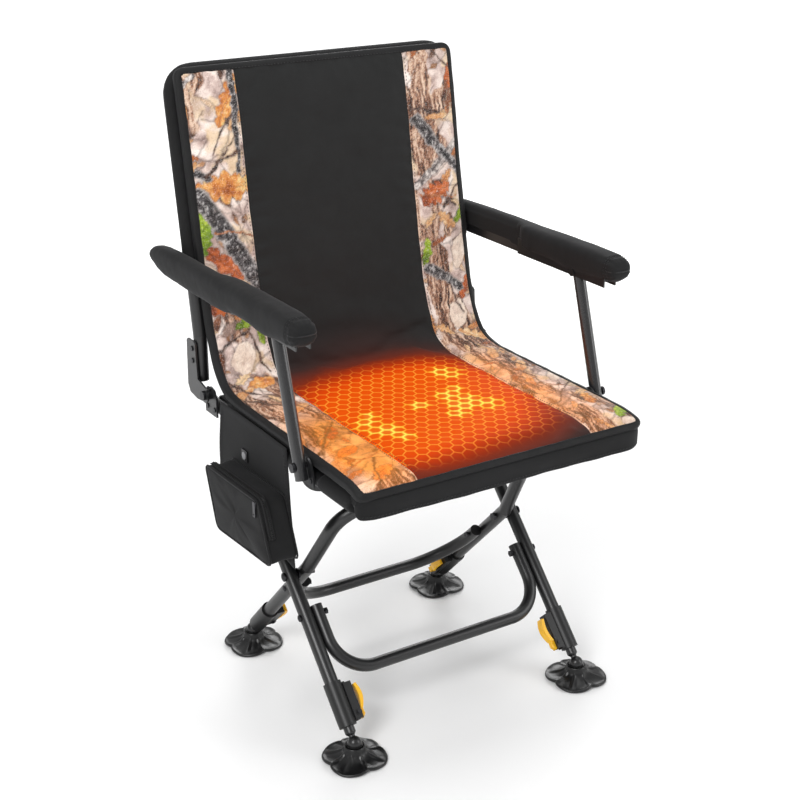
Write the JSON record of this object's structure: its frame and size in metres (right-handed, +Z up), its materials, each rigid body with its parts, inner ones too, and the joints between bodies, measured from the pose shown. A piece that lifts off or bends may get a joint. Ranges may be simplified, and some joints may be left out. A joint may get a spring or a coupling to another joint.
{
  "type": "blind swivel chair",
  "caption": "Folding swivel chair for a hunting blind: X frame base with levelling feet, padded heated seat, folding back and padded arms.",
  "frame": {"origin": "on the ground, at the middle of the chair's outline seen from above; the swivel axis stands at x 5.6 mm, y -10.25 mm", "axes": "+Z up; the front of the seat faces -Y; the sitter's left is +X"},
  "size_m": [0.5952, 0.5796, 0.973],
  "materials": {
    "tube_black": "satin powder coat",
    "post_black": "semi-gloss powder coat",
    "fastener": "blackened zinc",
    "bearing_steel": "ground steel",
    "rod_black": "satin",
    "lever_yellow": "moulded",
    "liner_nylon": "moulded",
    "foot_plastic": "moulded, satin",
    "black_plastic": "moulded, fine grain",
    "plate_grey": "satin",
    "camo_pad": "printed woven polyester",
    "heater": "coated",
    "button": "moulded",
    "zip_metal": "coated zinc",
    "black_fabric": "woven polyester"
  },
  "bodies": {
    "rear_base": {"rear_leg_frame": "tube_black", "rear_leg_brace": "tube_black", "rear_brace_bolts": "fastener", "leg_pivot_bolts": "fastener", "rear_leg_clamps": "black_plastic", "rear_lever_pins": "fastener"},
    "front_base": {"front_leg_frame": "tube_black", "front_leg_brace": "tube_black", "front_brace_bolts": "fastener", "front_leg_clamps": "black_plastic", "front_lever_pins": "fastener"},
    "swivel_base": {"swivel_lower_plate": "tube_black", "frame_saddles": "tube_black", "frame_hooks": "tube_black", "bearing_lower_race": "bearing_steel", "bearing_balls": "bearing_steel", "swivel_bolt": "fastener"},
    "seat": {"bearing_upper_race": "bearing_steel", "swivel_upper_plate": "tube_black", "seat_cross_bars": "tube_black", "seat_frame": "tube_black", "seat_hinge_plates": "plate_grey", "post_brackets": "plate_grey", "seat_bolts": "fastener", "seat_sling": "black_fabric", "front_hem": "black_fabric", "heater_pad": "heater", "seat_pad": "camo_pad", "side_panel": "black_fabric", "pocket": "black_fabric", "button_case": "black_plastic"},
    "back": {"back_frame": "tube_black", "back_hinge_plates": "plate_grey", "back_bolts": "fastener", "back_sling": "black_fabric", "back_pad": "camo_pad"},
    "heater_button": {"heater_button": "button"},
    "zip_pull": {"zip_pull": "zip_metal"},
    "arm_left": {"arm_rail_left": "tube_black", "arm_pad_left": "black_fabric"},
    "post_left": {"arm_post_left": "post_black"},
    "arm_right": {"arm_rail_right": "tube_black", "arm_pad_right": "black_fabric"},
    "post_right": {"arm_post_right": "post_black"},
    "rod_front_left": {"leg_rod_front_left": "rod_black"},
    "lever_front_left": {"lever_front_left": "lever_yellow"},
    "liner_front_left": {"ball_liner_front_left": "liner_nylon"},
    "foot_front_left": {"foot_front_left": "foot_plastic"},
    "rod_front_right": {"leg_rod_front_right": "rod_black"},
    "lever_front_right": {"lever_front_right": "lever_yellow"},
    "liner_front_right": {"ball_liner_front_right": "liner_nylon"},
    "foot_front_right": {"foot_front_right": "foot_plastic"},
    "rod_rear_left": {"leg_rod_rear_left": "rod_black"},
    "lever_rear_left": {"lever_rear_left": "lever_yellow"},
    "liner_rear_left": {"ball_liner_rear_left": "liner_nylon"},
    "foot_rear_left": {"foot_rear_left": "foot_plastic"},
    "rod_rear_right": {"leg_rod_rear_right": "rod_black"},
    "lever_rear_right": {"lever_rear_right": "lever_yellow"},
    "liner_rear_right": {"ball_liner_rear_right": "liner_nylon"},
    "foot_rear_right": {"foot_rear_right": "foot_plastic"}
  },
  "joints": [
    {"name": "seat_lift", "type": "hinge", "parent": "rear_base", "child": "swivel_base", "pos_m": [0.0056, -0.10225, 0.362], "axis": [1, 0, 0], "range_deg": [0, 110]},
    {"name": "leg_fold", "type": "hinge", "parent": "rear_base", "child": "front_base", "pos_m": [0.0056, -0.01025, 0.225], "axis": [1, 0, 0], "range_deg": [0, 60]},
    {"name": "seat_swivel", "type": "hinge", "parent": "swivel_base", "child": "seat", "pos_m": [0.0056, -0.01025, 0.39], "axis": [0, 0, 1], "continuous": true},
    {"name": "back_fold", "type": "hinge", "parent": "seat", "child": "back", "pos_m": [0.0056, 0.15975, 0.48], "axis": [1, 0, 0], "range_deg": [0, 80]},
    {"name": "arm_left_level", "type": "hinge", "parent": "back", "child": "arm_left", "pos_m": [0.2756, 0.21575, 0.664], "axis": [1, 0, 0], "range_deg": [-80, 0]},
    {"name": "post_left_swing", "type": "hinge", "parent": "seat", "child": "post_left", "pos_m": [0.2706, -0.15025, 0.478], "axis": [1, 0, 0], "range_deg": [0, 80]},
    {"name": "arm_right_level", "type": "hinge", "parent": "back", "child": "arm_right", "pos_m": [-0.2644, 0.21575, 0.664], "axis": [1, 0, 0], "range_deg": [-80, 0]},
    {"name": "post_right_swing", "type": "hinge", "parent": "seat", "child": "post_right", "pos_m": [-0.2594, -0.15025, 0.478], "axis": [1, 0, 0], "range_deg": [0, 80]},
    {"name": "leg_front_left_extend", "type": "slide", "parent": "front_base", "child": "rod_front_left", "axis": [0, -0.6947, -0.7193], "range_m": [0, 0.09]},
    {"name": "lever_front_left_open", "type": "hinge", "parent": "front_base", "child": "lever_front_left", "pos_m": [0.1956, -0.17211, 0.05739], "axis": [0, -0.7193, 0.6947], "range_deg": [0, 55]},
    {"name": "foot_front_left_pitch", "type": "hinge", "parent": "rod_front_left", "child": "liner_front_left", "pos_m": [0.2171, -0.20059, 0.0279], "axis": [1, 0, 0], "range_deg": [-15, 15]},
    {"name": "foot_front_left_roll", "type": "hinge", "parent": "liner_front_left", "child": "foot_front_left", "pos_m": [0.2171, -0.20059, 0.0279], "axis": [0, 1, 0], "range_deg": [-15, 15]},
    {"name": "leg_front_right_extend", "type": "slide", "parent": "front_base", "child": "rod_front_right", "axis": [0, -0.6947, -0.7193], "range_m": [0, 0.09]},
    {"name": "lever_front_right_open", "type": "hinge", "parent": "front_base", "child": "lever_front_right", "pos_m": [-0.1844, -0.17211, 0.05739], "axis": [0, 0.7193, -0.6947], "range_deg": [0, 55]},
    {"name": "foot_front_right_pitch", "type": "hinge", "parent": "rod_front_right", "child": "liner_front_right", "pos_m": [-0.2059, -0.20059, 0.0279], "axis": [1, 0, 0], "range_deg": [-15, 15]},
    {"name": "foot_front_right_roll", "type": "hinge", "parent": "liner_front_right", "child": "foot_front_right", "pos_m": [-0.2059, -0.20059, 0.0279], "axis": [0, 1, 0], "range_deg": [-15, 15]},
    {"name": "leg_rear_left_extend", "type": "slide", "parent": "rear_base", "child": "rod_rear_left", "axis": [0, 0.6947, -0.7193], "range_m": [0, 0.09]},
    {"name": "lever_rear_left_open", "type": "hinge", "parent": "rear_base", "child": "lever_rear_left", "pos_m": [0.1721, 0.1516, 0.05739], "axis": [0, -0.7193, -0.6947], "range_deg": [0, 55]},
    {"name": "foot_rear_left_pitch", "type": "hinge", "parent": "rod_rear_left", "child": "liner_rear_left", "pos_m": [0.1936, 0.18009, 0.0279], "axis": [1, 0, 0], "range_deg": [-15, 15]},
    {"name": "foot_rear_left_roll", "type": "hinge", "parent": "liner_rear_left", "child": "foot_rear_left", "pos_m": [0.1936, 0.18009, 0.0279], "axis": [0, 1, 0], "range_deg": [-15, 15]},
    {"name": "leg_rear_right_extend", "type": "slide", "parent": "rear_base", "child": "rod_rear_right", "axis": [0, 0.6947, -0.7193], "range_m": [0, 0.09]},
    {"name": "lever_rear_right_open", "type": "hinge", "parent": "rear_base", "child": "lever_rear_right", "pos_m": [-0.1609, 0.1516, 0.05739], "axis": [0, 0.7193, 0.6947], "range_deg": [0, 55]},
    {"name": "foot_rear_right_pitch", "type": "hinge", "parent": "rod_rear_right", "child": "liner_rear_right", "pos_m": [-0.1824, 0.18009, 0.0279], "axis": [1, 0, 0], "range_deg": [-15, 15]},
    {"name": "foot_rear_right_roll", "type": "hinge", "parent": "liner_rear_right", "child": "foot_rear_right", "pos_m": [-0.1824, 0.18009, 0.0279], "axis": [0, 1, 0], "range_deg": [-15, 15]},
    {"name": "heater_button_press", "type": "slide", "parent": "seat", "child": "heater_button", "axis": [1, 0, 0], "range_m": [0, 0.0012], "stiffness_N_per_m": 400},
    {"name": "zip_pull_slide", "type": "slide", "parent": "seat", "child": "zip_pull", "axis": [0, 0.9984, -0.0558], "range_m": [0, 0.155]}
  ],
  "couplings": [
    {"joint": "leg_fold", "follows": "seat_lift", "ratio": 0.54},
    {"joint": "arm_left_level", "follows": "back_fold", "ratio": -1},
    {"joint": "post_left_swing", "follows": "back_fold", "ratio": 1},
    {"joint": "arm_right_level", "follows": "back_fold", "ratio": -1},
    {"joint": "post_right_swing", "follows": "back_fold", "ratio": 1}
  ]
}
